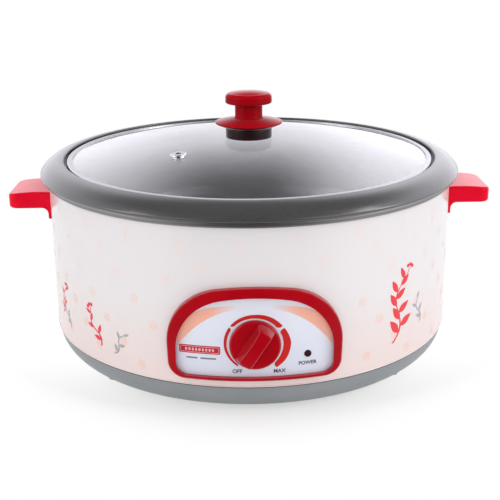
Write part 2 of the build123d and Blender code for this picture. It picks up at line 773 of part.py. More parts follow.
def make_dial():
    tip = dial_tip_y
    skirt = rod_y(dial_radius, dial_back_y, dial_front_y, 0, dial_z)
    skirt = fillet(skirt.edges().group_by(Axis.Y)[0], dial_skirt_round)
    half = dial_grip_width / 2
    reach = dial_radius - dial_grip_inset
    depth = dial_front_y + dial_skirt / 2 - tip
    root = Rectangle(2 * (half + dial_grip_draft), 2 * dial_radius)
    draft = math.degrees(math.atan(dial_grip_draft / depth))
    facing = Pos(0, tip + depth, dial_z) * Rot(X=90)
    grip = facing * (extrude(root, depth, taper=draft)
                     & Pos(0, 0, depth / 2) * Cone(reach, reach - dial_grip_lean, depth))
    grip &= rod_x(dial_grip_crown, 2 * dial_radius, 0, tip + dial_grip_crown, dial_z)
    knob = skirt + fillet(grip.edges() - grip.edges().group_by(Axis.Y)[-1], dial_grip_round)
    hub_radius = shaft_radius + dial_hub_wall
    clip_inner = hub_radius + screw_gap / 2
    clip_outer = clip_inner + clip_wall
    clip_front = dial_back_y - clip_air - clip_length
    knob += rod_y(hub_radius, dial_back_y, hub_end_y, 0, dial_z)
    bore_end = dial_back_y - dial_bore_depth
    knob -= rod_y(shaft_radius, hub_end_y + overrun, bore_end, 0, dial_z) - shaft_flat_block(far)
    spring_room = rod_y(clip_outer + clip_air, dial_back_y, clip_front - clip_air, 0, dial_z)
    knob -= spring_room - rod_y(hub_radius, dial_back_y + overrun, clip_front - overrun, 0, dial_z)
    keep("dial_knob", dial_turn(knob))

    clip = rod_y(clip_outer, dial_back_y - clip_air, clip_front, 0, dial_z)
    clip -= rod_y(clip_inner, dial_back_y, clip_front - overrun, 0, dial_z)
    clip -= block(-clip_wall, clip_wall, clip_front - overrun, dial_back_y, dial_z, dial_z + dial_radius)
    keep("shaft_clip", dial_turn(clip))

    shaft = rod_y(shaft_radius, bore_end + clip_air, bracket_back_y + shaft_depth, 0, dial_z)
    keep("thermostat_shaft", dial_turn(shaft - shaft_flat_block(hub_end_y + overrun)))


def make_thermostat():
    width, depth, height = thermostat_size
    body = block(-width / 2, width / 2, bracket_back_y, thermostat_back_y,
                 thermostat_low_z, thermostat_low_z + height)
    body = fillet(body.edges().filter_by(Axis.Y), thermostat_corner)
    body += rod_y(bushing_radius, bracket_back_y, bracket_y - bushing_length, 0, dial_z)
    body -= rod_y(shaft_radius + slip, -shell_radius, bracket_back_y + shaft_depth + fit_gap, 0, dial_z)
    wide, long, thick = blade
    for x in (-blade_x, blade_x):
        body += block(x - wide / 2, x + wide / 2, blade_y - thick / 2, blade_y + thick / 2,
                      blade_z, thermostat_low_z + thick)
    keep("thermostat_body", body)

    nut = Plane.XZ * extrude(RegularPolygon(nut_across / 2, 6, major_radius=False), nut_thick)
    nut = Pos(0, bracket_y, dial_z) * nut - bore_y(bushing_radius + slip, -1, 0, dial_z)
    keep("thermostat_nut", nut)


# ---- heater ----
def make_heater():
    plate = rod(heater_radius, heater_under_z, heater_top_z)
    plate = fillet(plate.edges().filter_by(GeomType.CIRCLE).group_by(Axis.Z)[-1], heater_edge)
    half = rib_width / 2
    plate += ring(element_circle - half, element_circle + half, rib_under_z, heater_under_z)
    groove = element_radius + slip
    plate -= ring(element_circle - groove, element_circle + groove, rib_under_z - overrun, element_z)
    plate -= revolve(Plane.XZ * (Pos(element_circle, element_z) * Circle(groove)), Axis.Z)
    for angle in post_angles:
        seat = rod(m4[0] + slip, rib_under_z, heater_under_z + thread_depth, post_circle)
        plate -= Rot(Z=angle) * seat
    for x, y in (bulb_bolt(), fuse_bolt()):
        plate -= rod(m3[0] + slip, rib_under_z, heater_under_z + thread_depth, x, y)
    keep("heater_plate", plate)

    section = Plane.XZ * (Pos(element_circle, element_z) * Circle(element_radius))
    coil = Rot(Z=element_start) * revolve(section, Axis.Z, element_sweep)
    turns = (element_start, element_start + element_sweep)
    lead = Pos(element_circle, 0, element_z) * Sphere(element_radius)
    lead += rod(element_radius, bead_z, element_z, element_circle)
    bead = rod(element_radius + bead_wall, bead_z - bead_length, bead_z, element_circle)
    bead += rod(tab_radius, tab_z, bead_z - bead_length, element_circle)
    for turn in turns:
        coil += Rot(Z=turn) * lead
    keep("heating_element", coil)
    keep("element_terminals", [Rot(Z=turn) * bead for turn in turns])

    head_z = base_floor_z + m4[2]
    post = rod(post_radius + post_foot_wall, post_seat_z, shield_z)
    post += rod(post_radius, shield_z, heater_under_z)
    post -= rod(m4[0] + slip, 0, post_seat_z + screw_bite + overrun)
    post += rod(m4[0], heater_under_z, heater_under_z + thread_depth - screw_gap)
    fixing = Pos(0, 0, head_z) * screw(m4, post_seat_z + screw_bite - head_z)
    keep("plate_posts", [Rot(Z=angle) * Pos(post_circle, 0, 0) * post for angle in post_angles])
    keep("post_screws", [Rot(Z=angle) * Pos(post_circle, 0, 0) * fixing for angle in post_angles])

    floor_top, lip_top = shield_z + shield_wall, shield_z + shield_lip
    dish = turned([
        (0, shield_z), (shield_radius, shield_z), (shield_radius, lip_top),
        (shield_radius - shield_wall, lip_top), (shield_radius - shield_wall, floor_top), (0, floor_top)])
    for angle in post_angles:
        dish -= Rot(Z=angle) * rod(post_radius + slip, post_seat_z, heater_top_z, post_circle)
    for turn in turns:
        dish -= Rot(Z=turn) * rod(element_radius + hole_gap, post_seat_z, heater_top_z, element_circle)
    for x, y in lead_holes:
        dish -= rod(lead_hole_radius, post_seat_z, heater_top_z, x, y)
    keep("heat_shield", dish)


def bulb_bolt():
    """Where the screw of the bulb's clip stands."""
    return bulb_clip_x, bulb_y + bulb_radius + clip_bolt_gap


def fuse_bolt():
    """Where the screw of the fuse's clip stands."""
    return fuse_x, fuse_y + fuse_radius + clip_bolt_gap


def clip_over(radius, y, bolt, width):
    """Sheet clip that holds a round body up against the heater plate, and its screw."""
    x, bolt_y = bolt
    left, right = x - width / 2, x + width / 2
    top = heater_under_z
    low = top - 2 * (radius + sensor_gap) - clip_sheet
    near, far_side = y - radius - sensor_gap, y + radius + sensor_gap
    piece = block(left, right, near - clip_sheet, near, low, top)
    piece += block(left, right, far_side, far_side + clip_sheet, low, top)
    piece += block(left, right, near - clip_sheet, far_side + clip_sheet, low, low + clip_sheet)
    piece += block(left, right, far_side, bolt_y + clip_tail, top - clip_sheet, top)
    piece -= rod(m3[0] + slip, low, top + overrun, x, bolt_y)
    fixing = Pos(x, bolt_y, top - clip_sheet) * screw(m3, clip_sheet + thread_depth - overrun)
    return [piece, fixing]


def make_sensors():
    bulb_z = heater_under_z - bulb_radius - sensor_gap
    keep("sensor_bulb", fillet(rod_x(bulb_radius, bulb_length, 0, bulb_y, bulb_z).edges(), bulb_round))
    keep("bulb_clip", clip_over(bulb_radius, bulb_y, bulb_bolt(), bulb_clip_width))
    end_x = bulb_length / 2
    low = shield_z + shield_wall + bulb_radius
    over = shield_z + shield_lip + 2 * tube_radius
    bend = tube_bend
    route = [(end_x, bulb_y, bulb_z), (end_x + 4 * bend, bulb_y, bulb_z),
             (end_x + 4 * bend, bulb_y - 1.5 * bend, low), (end_x + bend, 5 * bend - shield_radius, low),
             (1.5 * bend, bend - shield_radius, over), (1.5 * bend, thermostat_back_y, over)]
    keep("capillary_tube", tube(route, tube_radius, bend))

    fuse_z = heater_under_z - fuse_radius - sensor_gap
    keep("thermal_fuse", fillet(rod_x(fuse_radius, fuse_length, fuse_x, fuse_y, fuse_z).edges(), fuse_round))
    keep("fuse_clip", clip_over(fuse_radius, fuse_y, fuse_bolt(), fuse_clip_width))


# ---- mains inlet ----
def make_inlet():
    half_x, half_z = inlet_size[0] / 2, inlet_size[1] / 2
    hood_x, hood_z = inlet_hood[0] / 2, inlet_hood[1] / 2
    hood = block(-hood_x, hood_x, pot_inner_radius, inlet_front_y, inlet_z - hood_z, inlet_z + hood_z)
    hood = fillet(hood.edges().filter_by(Axis.Y), inlet_hood_corner)
    hood = fillet(hood.faces().sort_by(Axis.Y)[-1].edges(), inlet_hood_edge)
    hood -= rod(shell_radius, 0, shell_top_z)
    box_x, box_z = half_x + inlet_wall, half_z + inlet_wall
    box = block(-box_x, box_x, inlet_back_y, shell_radius, inlet_z - box_z, inlet_z + box_z)
    box = fillet(box.edges().filter_by(Axis.Y), inlet_corner)
    cavity = block(-half_x, half_x, inlet_floor_y, far, inlet_z - half_z, inlet_z + half_z)
    cavity = chamfer(cavity.edges().filter_by(Axis.Y).group_by(Axis.Z)[0], inlet_chamfer)
    housing = hood + box - cavity
    width, tall, length = inlet_pin
    pins = []
    for x, z in inlet_pin_places():
        pin = block(x - width / 2, x + width / 2, inlet_back_y - inlet_tail, inlet_floor_y + length,
                    z - tall / 2, z + tall / 2)
        pins.append(pin)
        housing -= pin
    head_y = math.sqrt(shell_inner ** 2 - (inlet_screw_spread / 2 + m3[1]) ** 2)
    screws = []
    for side in (-1, 1):
        x = side * inlet_screw_spread / 2
        housing -= rod_y(m3[0] + slip, head_y, shell_radius + screw_bite, x, inlet_z)
        screws.append(Pos(x, head_y, inlet_z) * Rot(X=-90) * screw(m3, screw_bite))
    keep("inlet_housing", housing)
    keep("inlet_pins", pins)
    keep("inlet_screws", screws)


def inlet_pin_places():
    """(x, z) of the live, earth and neutral pins."""
    low, high = inlet_z - inlet_pin_z, inlet_z + inlet_pin_z
    return [(inlet_pin_x, low), (0, high), (-inlet_pin_x, low)]


# ---- wiring ----
def make_wires():
    (live_x, pin_low), (earth_x, pin_high), (neutral_x, _) = inlet_pin_places()
    step = wire_bend
    pin_y = inlet_back_y - inlet_tail
    part_y = pin_y - wire_back
    floor = base_floor_z + wire_rise
    middle = (floor + pin_low) / 2
    fuse_z = heater_under_z - fuse_radius - sensor_gap
    above = shield_z + shield_wall + wire_rise
    start = math.radians(element_start)
    tip_x, tip_y = -element_circle * math.cos(start), element_circle * math.sin(start)
    rise = (floor + tab_z) / 2
    hole_a, hole_b = lead_holes
    fuse_left, fuse_right = fuse_x - fuse_length / 2, fuse_x + fuse_length / 2
    blade_rise = (floor + blade_z) / 2 - step

    live = [(live_x, pin_y, pin_low), (live_x, pin_y - 2 * step, pin_low), (3 * step, part_y, middle),
            (wire_lane, post_circle, floor), (wire_lane + wire_tight, 3 * step, floor),
            (wire_lane, -10 * step, floor), (blade_x + 2 * step, blade_y + 3 * step, floor),
            (blade_x, blade_y, blade_rise), (blade_x, blade_y, blade_z)]
    keep("live_wire", tube(live, wire_radius, wire_bend))
    switched = [(-blade_x, blade_y, blade_z), (-blade_x, blade_y, blade_rise),
                (-blade_x - step, blade_y + 3 * step, floor), (-3.5 * step, -10 * step, floor),
                (-3 * step, 3 * step, floor), (*hole_a, floor + step), (*hole_a, above),
                (hole_a[0] - step, fuse_y, fuse_z), (fuse_left, fuse_y, fuse_z)]
    keep("switched_wire", tube(switched, wire_radius, 2 * wire_tight))
    fused = [(fuse_right, fuse_y, fuse_z), (hole_b[0] - wire_tight, fuse_y, fuse_z), (*hole_b, above),
             (*hole_b, floor + 2 * step), (tip_x, tip_y - step, floor), (tip_x, tip_y, rise),
             (tip_x, tip_y, tab_z)]
    keep("fused_wire", tube(fused, wire_radius, wire_tight))
    neutral = [(neutral_x, pin_y, pin_low), (neutral_x, pin_y - 2 * step, pin_low),
               (-3 * step, part_y - step, middle), (-tip_x, tip_y + step, floor), (-tip_x, tip_y, rise),
               (-tip_x, tip_y, tab_z)]
    keep("neutral_wire", tube(neutral, wire_radius, wire_tight))
    screw_y = flange_inner + earth_inset
    flange_top = shell_foot_z + shell_wall
    earth_y = pin_y - 2 * step
    earth = [(earth_x, pin_y, pin_high), (0, earth_y, pin_high), (0, earth_y, middle),
             (0, screw_y, middle - wire_rise), (0, screw_y, flange_top + m3[2])]
    keep("earth_wire", tube(earth, wire_radius, 3 * wire_tight / 2))
    keep("earth_screw", Pos(0, screw_y, flange_top) * Rot(X=180) * screw(m3, screw_bite))
    back_y = bracket_back_y + holder_length
    side = thermostat_size[0] / 2 + 0.4 * lamp_wire_radius
    lamp = [(lamp_x, back_y, lamp_z), (lamp_x, back_y + 1.5 * step, lamp_z),
            (lamp_x - 1.5 * step, back_y + 2 * step, lamp_z + step),
            (side, back_y + 1.5 * step, lamp_z + 1.5 * step)]
    keep("lamp_wire", tube(lamp, lamp_wire_radius, wire_tight))


def make_all():
    make_base()
    make_shell()
    make_pot()
    make_lid()
    make_knob()
    make_handle("handle_right", 0)
    make_handle("handle_left", 180)
    make_handle_hardware()
    make_panel()
    make_dial()
    make_thermostat()
    make_heater()
    make_sensors()
    make_inlet()
    make_wires()


make_all()
os.makedirs("parts", exist_ok=True)
for name, shape in parts.items():
    export_step(shape, f"parts/{name}.step")
print(len(parts), "nodes")
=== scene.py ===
import json
import math

import bmesh
import bpy
import numpy as np
from mathutils import Matrix, Vector


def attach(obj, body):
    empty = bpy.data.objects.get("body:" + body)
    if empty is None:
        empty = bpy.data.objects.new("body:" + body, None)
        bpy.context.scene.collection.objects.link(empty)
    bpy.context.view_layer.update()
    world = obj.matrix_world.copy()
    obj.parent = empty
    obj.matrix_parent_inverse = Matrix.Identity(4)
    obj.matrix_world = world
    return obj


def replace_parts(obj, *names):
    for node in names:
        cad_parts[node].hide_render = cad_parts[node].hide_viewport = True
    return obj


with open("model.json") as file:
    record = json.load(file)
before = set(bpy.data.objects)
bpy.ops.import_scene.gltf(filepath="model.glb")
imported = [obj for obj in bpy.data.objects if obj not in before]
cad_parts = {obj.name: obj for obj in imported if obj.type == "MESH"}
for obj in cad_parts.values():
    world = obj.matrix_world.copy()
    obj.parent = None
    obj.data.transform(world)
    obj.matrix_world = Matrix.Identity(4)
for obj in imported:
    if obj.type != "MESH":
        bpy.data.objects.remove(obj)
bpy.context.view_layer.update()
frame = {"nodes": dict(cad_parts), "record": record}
nodes = frame["nodes"]
mm = 0.001
inkThickness = 0.06 * mm
sharpAngle = math.radians(40)          # edges that bend by more stay sharp
print("frame loaded,", len(nodes), "nodes")


class Number:
    # a number on its way through a shader: sums and products of it add Math nodes
    def __init__(self, net, socket):
        self.net = net
        self.socket = socket

    def combine(self, operation, *values):
        node = self.net.add("ShaderNodeMath", {"operation": operation}, dict(enumerate(values)))
        return Number(self.net, node.outputs[0])

    def __add__(self, other):
        return self.combine("ADD", self, other)

    def __radd__(self, other):
        return self.combine("ADD", other, self)

    def __sub__(self, other):
        return self.combine("SUBTRACT", self, other)

    def __rsub__(self, other):
        return self.combine("SUBTRACT", other, self)

    def __mul__(self, other):
        return self.combine("MULTIPLY", self, other)

    def __rmul__(self, other):
        return self.combine("MULTIPLY", other, self)

    def __pow__(self, other):
        return self.combine("POWER", self, other)

    def __abs__(self):
        return self.combine("ABSOLUTE", self)

    def sine(self):
        return self.combine("SINE", self)

    def least(self, other):
        return self.combine("MINIMUM", self, other)

    def most(self, other):
        return self.combine("MAXIMUM", self, other)

    def step(self, low, high):
        # 0 below low, 1 above high and a soft ramp between them
        node = self.net.add("ShaderNodeMapRange", {"interpolation_type": "SMOOTHSTEP"},
                            {"Value": self, "From Min": low, "From Max": high})
        return Number(self.net, node.outputs[0])


class Net:
    # the nodes of one material or of the world, and the coordinates that they read
    def __init__(self, tree, coordinates):
        self.tree = tree
        self.where = self.add("ShaderNodeTexCoord").outputs[coordinates]

    def add(self, kind, settings=None, inputs=None):
        node = self.tree.nodes.new(kind)
        for key, value in (settings or {}).items():
            setattr(node, key, value)
        self.setInputs(node, inputs or {})
        return node

    def setInputs(self, node, inputs):
        for key, value in inputs.items():
            if isinstance(value, Number):
                value = value.socket
            if isinstance(value, bpy.types.NodeSocket):
                self.tree.links.new(value, node.inputs[key])
            else:
                node.inputs[key].default_value = value

    def axis(self, letter):
        split = self.add("ShaderNodeSeparateXYZ", None, {0: self.where})
        return Number(self, split.outputs["XYZ".index(letter)])

    def radius(self):
        x, y = self.axis("X"), self.axis("Y")
        return (x * x + y * y) ** 0.5

    def turned(self):
        # radius and height, so that a pattern of them runs in rings round the Z axis
        return self.add("ShaderNodeCombineXYZ", None, {0: self.radius(), 1: self.axis("Z")}).outputs[0]

    def noise(self, scale, detail=2.0, where=None):
        node = self.add("ShaderNodeTexNoise", None,
                        {"Vector": where or self.where, "Scale": scale, "Detail": detail})
        return Number(self, node.outputs["Fac"])

    def cells(self, scale):
        node = self.add("ShaderNodeTexVoronoi", None, {"Vector": self.where, "Scale": scale})
        return Number(self, node.outputs["Distance"])

    def blend(self, factor, first, second):
        # colour between two colours, each a tuple or a link
        first, second = [(*c, 1) if isinstance(c, tuple) else c for c in (first, second)]
        node = self.add("ShaderNodeMix", {"data_type": "RGBA"}, {0: factor, 6: first, 7: second})
        return node.outputs[2]

    def ray(self, *kinds):
        # 1 for these kinds of ray, and 0 for others
        path = self.add("ShaderNodeLightPath")
        total = Number(self, path.outputs[f"Is {kinds[0]} Ray"])
        for kind in kinds[1:]:
            total = total.most(Number(self, path.outputs[f"Is {kind} Ray"]))
        return total


class Finish(Net):
    # one material with its Principled shader
    def __init__(self, name, baseColor, roughness, metallic=0.0, **sockets):
        self.material = bpy.data.materials.new(name)
        self.material.use_nodes = True
        super().__init__(self.material.node_tree, "Object")
        self.shader = self.tree.nodes["Principled BSDF"]
        self.paint(Base_Color=(*baseColor, 1), Roughness=roughness, Metallic=metallic, **sockets)

    def paint(self, **sockets):
        self.setInputs(self.shader, {key.replace("_", " "): value for key, value in sockets.items()})

    def bump(self, height, distance):
        node = self.add("ShaderNodeBump", None, {"Height": height, "Strength": 1.0, "Distance": distance})
        self.paint(Normal=node.outputs["Normal"])


def gridFaces(rows, columns, closed=False):
    # quads between neighbours of a grid, row by row; closed joins the last column to the first
    a, b = np.meshgrid(np.arange(rows - 1), np.arange(columns if closed else columns - 1), indexing="ij")
    nextB = (b + 1) % columns
    corners = [a * columns + b, a * columns + nextB, (a + 1) * columns + nextB, (a + 1) * columns + b]
    return np.stack(corners, -1).reshape(-1, 4)


def meshPiece(name, points, faces, smooth=True):
    # doubles are merged, which closes seams and poles
    mesh = bpy.data.meshes.new(name)
    mesh.from_pydata(points.tolist(), [], faces.tolist())
    work = bmesh.new()
    work.from_mesh(mesh)
    bmesh.ops.remove_doubles(work, verts=work.verts, dist=1e-7)
    work.to_mesh(mesh)
    work.free()
    mesh.polygons.foreach_set("use_smooth", np.full(len(mesh.polygons), smooth))
    if smooth:
        mesh.set_sharp_from_angle(angle=sharpAngle)
    piece = bpy.data.objects.new(name, mesh)
    bpy.context.scene.collection.objects.link(piece)
    return piece


def wrapped(flat, radius):
    # an angle round the pot, from the front towards +X, and a height: their point on an upright cylinder
    angle, height = flat[..., 0], flat[..., 1]
    return np.stack([radius * np.sin(angle), -radius * np.cos(angle), height], -1)


def lathe(name, profile, finish, columns=360):
    # a closed profile of radius and height in mm, outer side upwards, carried round the Z axis
    profile = np.array([*profile, profile[0]]) * mm
    turn = np.linspace(0, 2 * np.pi, columns, endpoint=False)
    flat = np.stack(np.broadcast_arrays(turn[None, :], profile[:, 1, None]), -1)
    piece = meshPiece(name, wrapped(flat, profile[:, 0, None]).reshape(-1, 3),
                      gridFaces(len(profile), columns, True))
    dress(piece, finish)
    return piece


def cornerArc(radius, height, bend, first, last, steps=6):
    # points of a rounded corner of a profile, from one angle to another in degrees
    turn = np.radians(np.linspace(first, last, steps))
    return list(zip(radius + bend * np.cos(turn), height + bend * np.sin(turn)))


def printPiece(name, flatGrids, radius, finish):
    # ink as a thin shell on a cylinder: each grid of angles and heights is one patch of it
    places, faces, count = [], [], 0
    for flat, closed in flatGrids:
        rows, columns = flat.shape[:2]
        places.append(wrapped(flat, radius).reshape(-1, 3))
        faces.append(gridFaces(rows, columns, closed) + count)
        count += rows * columns
    piece = meshPiece(name, np.concatenate(places), np.concatenate(faces), smooth=False)
    thicken(piece)
    dress(piece, finish)


def thicken(piece):
    shell = piece.modifiers.new("inkThickness", "SOLIDIFY")
    shell.thickness = inkThickness
    shell.offset = -1


def dress(piece, finish):
    piece.data.materials.clear()
    piece.data.materials.append(finish.material)
    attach(piece, "root")


enamel = {
    "lowTone": (0.82, 0.69, 0.675), "highTone": (0.79, 0.755, 0.77), "toneHeights": (0.02, 0.095),
    "cloudScale": 14, "cloudShift": 0.02, "peelScale": 700, "depth": 0.00004,
}


def enamelFinish():
    # its tone goes by the height, moved up and down a little by a cloud, under a faint orange peel
    finish = Finish("printedEnamel", (0.8, 0.76, 0.77), 0.2, Coat_Weight=0.3, Coat_Roughness=0.08)
    cloud = finish.noise(enamel["cloudScale"], 3)
    peel = finish.noise(enamel["peelScale"])
    share = (finish.axis("Z") + enamel["cloudShift"] * (cloud - 0.5)).step(*enamel["toneHeights"])
    finish.paint(Base_Color=finish.blend(share, enamel["lowTone"], enamel["highTone"]),
                 Roughness=0.18 + 0.1 * peel)
    finish.bump(peel + 0.6 * cloud, enamel["depth"])
    return finish


# dark and light tone of the brushing, and the roughness
steelTones = {
    "brightSteel": ((0.66, 0.66, 0.68), (0.86, 0.86, 0.87), 0.2),
    # a darkened copy of the steel for the trim ring: painted shade where the ring sits under the collar
    "shadedTrimSteel": ((0.2, 0.195, 0.2), (0.3, 0.29, 0.29), 0.32),
    # a darker copy of the steel for the lid rim: painted shade where the rim sits down inside the collar
    "shadedRimSteel": ((0.52, 0.52, 0.54), (0.72, 0.72, 0.73), 0.26),
}
brushing = {"ringScale": 5200, "hazeScale": 60, "depth": 0.00002}


def steelFinish(name, dark, light, roughness):
    # rings round the pot's axis, as left by turning and brushing
    finish = Finish(name, light, roughness, 1.0)
    brushed = finish.noise(brushing["ringScale"], where=finish.turned())
    haze = finish.noise(brushing["hazeScale"], 3)
    finish.paint(Base_Color=finish.blend(brushed, dark, light),
                 Roughness=roughness - 0.06 + 0.12 * brushed + 0.08 * haze)
    finish.bump(brushed, brushing["depth"])
    return finish


greyPlastic = {
    "dark": (0.23, 0.25, 0.262), "light": (0.28, 0.3, 0.31), "sparkScale": 1700, "flowScale": 35,
    "depth": 0.00003,
}


def greyPlasticFinish():
    # a fine spark texture, and the slow flow of a moulding in its tone
    finish = Finish("greyPlastic", (0.23, 0.25, 0.25), 0.38)
    spark = finish.cells(greyPlastic["sparkScale"])
    flow = finish.noise(greyPlastic["flowScale"], 3)
    finish.paint(Base_Color=finish.blend(flow, greyPlastic["dark"], greyPlastic["light"]),
                 Roughness=0.32 + 0.16 * spark)
    finish.bump(spark, greyPlastic["depth"])
    return finish


# dark and light tone, and how far a face turns away, from 0 to 1, where its coat starts and is full
redTones = {
    "redGloss": ((0.36, 0.001, 0.006), (0.42, 0.002, 0.009), (0.1, 0.5)),
    "redKnob": ((0.36, 0.001, 0.006), (0.42, 0.002, 0.009), (0.6, 0.9)),
    # a lighter copy of the same red plastic for the handles: painted light where the side lamps fall on
    # them
    "litHandleRed": ((0.72, 0.003, 0.02), (0.84, 0.005, 0.03), (0.35, 0.9)),
}
redPlastic = {"leastCoat": 0.1, "flowScale": 40, "waveScale": 260, "depth": 0.00003}


def redFinish(name, dark, light, glance):
    # gloss moulded plastic: a slow flow in its tone, and a faint waviness
    finish = Finish(name, light, 0.16, Specular_IOR_Level=0.0, Coat_Roughness=0.12, Coat_IOR=1.6)
    weight = finish.add("ShaderNodeLayerWeight", None, {"Blend": 0.5})
    facing = Number(finish, weight.outputs["Facing"]).step(*glance)
    least = redPlastic["leastCoat"]
    flow = finish.noise(redPlastic["flowScale"], 3)
    wave = finish.noise(redPlastic["waveScale"])
    finish.paint(Base_Color=finish.blend(flow.step(0.3, 0.7), dark, light),
                 Roughness=0.14 + 0.12 * wave, Coat_Weight=least + (1 - least) * facing)
    finish.bump(wave, redPlastic["depth"])
    return finish


# the faint red in this black is a painted reflection of the red knob
blackPlastic = {
    "dark": (0.016, 0.006, 0.007), "light": (0.034, 0.012, 0.014), "grainScale": 900, "depth": 0.00003,
}


def blackPlasticFinish():
    # a fine grain in its tone and its gloss; the red tint of the tone is a painted reflection of the red
    # knob
    finish = Finish("blackPlastic", (0.02, 0.007, 0.008), 0.25, Specular_IOR_Level=0.15)
    grain = finish.noise(blackPlastic["grainScale"], 3)
    finish.paint(Base_Color=finish.blend(grain, blackPlastic["dark"], blackPlastic["light"]),
                 Roughness=0.2 + 0.2 * grain)
    finish.bump(grain, blackPlastic["depth"])
    return finish


nonstick = {
    "dark": (0.036, 0.034, 0.034), "light": (0.052, 0.049, 0.048), "inside": (0.012, 0.012, 0.013),
    "speck": (0.2, 0.2, 0.21), "speckScale": 1500, "speckSize": (0.16, 0.3), "mottleScale": 420,
    "wallRadius": (0.146, 0.149), "ringWaves": 4200, "depth": 0.00004,
}


def nonstickFinish():
    # satin coat with pale specks, over turning rings on the inside
    finish = Finish("nonstickCoat", (0.05, 0.048, 0.047), 0.3, Coat_Weight=0.8, Coat_Roughness=0.14)
    radius = finish.radius()
    specks = 1 - finish.cells(nonstick["speckScale"]).step(*nonstick["speckSize"])
    inside = 1 - radius.step(*nonstick["wallRadius"])
    turning = ((radius * nonstick["ringWaves"]).sine() * 0.5 + 0.5) * inside
    mottle = finish.noise(nonstick["mottleScale"], 3)
    tone = finish.blend(mottle, nonstick["dark"], nonstick["light"])
    tone = finish.blend(0.6 * inside, tone, nonstick["inside"])
    tone = finish.blend(0.35 * specks, tone, nonstick["speck"])
    finish.paint(Base_Color=tone, Roughness=0.26 + 0.12 * mottle + 0.08 * turning)
    finish.bump(0.7 * turning + 0.5 * mottle - 0.3 * specks, nonstick["depth"])
    return finish


glass = {"tint": (0.94, 0.965, 0.96), "index": 1.45, "waveScale": 26, "depth": 0.0002}


def glassFinish():
    # clear all through, with the sheen of its two faces as a coat
    finish = Finish("temperedGlass", glass["tint"], 0.0, Transmission_Weight=1.0, IOR=glass["index"],
                    Specular_IOR_Level=0.0, Coat_Weight=1.0, Coat_Roughness=0.1, Coat_IOR=1.6)
    finish.bump(finish.noise(glass["waveScale"]), glass["depth"])
    return finish


plate = {
    "lowTone": (0.69, 0.72, 0.84), "highTone": (0.78, 0.81, 0.92), "toneHeights": (0.03, 0.08),
    "cloudTone": (0.8, 0.8, 0.82), "cloudScale": 60, "grainScale": 1400, "depth": 0.00002,
}


def plateFinish():
    # white with a faint cloud in it; it gets a little paler upwards, which is painted light on the
    # plate's upper part
    finish = Finish("controlPlate", (0.7, 0.72, 0.79), 0.22, Coat_Weight=0.5)
    # the paler top is painted light
    share = finish.axis("Z").step(*plate["toneHeights"])
    cloud = finish.noise(plate["cloudScale"], 3)
    grain = finish.noise(plate["grainScale"])
    tone = finish.blend(share, plate["lowTone"], plate["highTone"])
    finish.paint(Base_Color=finish.blend(0.12 * cloud, tone, plate["cloudTone"]),
                 Roughness=0.18 + 0.14 * grain)
    finish.bump(grain, plate["depth"])
    return finish


lamp = {"dark": (0.02, 0.001, 0.004), "light": (0.06, 0.004, 0.012), "ribWaves": 7000, "depth": 0.00006}


def lampFinish():
    # level ribs behind a clear face
    finish = Finish("lampRed", (0.07, 0.004, 0.01), 0.12, Specular_IOR_Level=0.2)
    ribs = (finish.axis("Z") * lamp["ribWaves"]).sine()
    finish.paint(Base_Color=finish.blend(0.5 + 0.5 * ribs, lamp["dark"], lamp["light"]))
    finish.bump(ribs, lamp["depth"])
    return finish


# what is inside, underneath and behind:
# two tones, the size of their pattern, least and most roughness, metal, depth of the bump
innerTones = {
    "black_rubber": ((0.018, 0.018, 0.018), (0.04, 0.04, 0.04), 1600, 0.65, 0.9, 0, 0.00006),
    "cast_aluminium": ((0.5, 0.5, 0.51), (0.68, 0.68, 0.69), 420, 0.35, 0.65, 1, 0.00012),
    "element_steel": ((0.12, 0.11, 0.12), (0.3, 0.27, 0.26), 160, 0.3, 0.6, 1, 0.00005),
    "ceramic_bead": ((0.78, 0.75, 0.69), (0.88, 0.86, 0.81), 700, 0.35, 0.6, 0, 0.00005),
    "zinc_steel": ((0.5, 0.51, 0.5), (0.72, 0.73, 0.7), 380, 0.22, 0.5, 1, 0.00003),
    "aluminised_sheet": ((0.56, 0.56, 0.57), (0.76, 0.76, 0.77), 240, 0.25, 0.45, 1, 0.00004),
    "brown_phenolic": ((0.11, 0.045, 0.022), (0.2, 0.085, 0.045), 800, 0.35, 0.6, 0, 0.00006),
    "brass_fittings": ((0.62, 0.44, 0.18), (0.82, 0.63, 0.31), 300, 0.18, 0.42, 1, 0.00003),
    "copper_tube": ((0.55, 0.26, 0.15), (0.82, 0.47, 0.32), 220, 0.2, 0.5, 1, 0.00003),
    "wire_brown": ((0.09, 0.035, 0.015), (0.15, 0.06, 0.03), 900, 0.45, 0.65, 0, 0.00003),
    "wire_red": ((0.42, 0.015, 0.015), (0.58, 0.03, 0.028), 900, 0.45, 0.65, 0, 0.00003),
    "wire_blue": ((0.02, 0.08, 0.36), (0.04, 0.14, 0.5), 900, 0.45, 0.65, 0, 0.00003),
    "wire_green": ((0.22, 0.34, 0.02), (0.5, 0.5, 0.04), 260, 0.45, 0.65, 0, 0.00003),
    "clear_silicone": ((0.6, 0.6, 0.57), (0.74, 0.74, 0.7), 600, 0.35, 0.55, 0, 0.00004),
}


def innerFinish(name, first, second, scale, least, most, metal, depth):
    # a broad pattern in its tone and a fine one in its gloss
    finish = Finish(name, first, least, metal)
    broad = finish.noise(scale / 6, 3)
    fine = finish.noise(scale, 4)
    finish.paint(Base_Color=finish.blend(broad.step(0.3, 0.7), first, second),
                 Roughness=least + (most - least) * fine)
    finish.bump(fine, depth)
    return finish


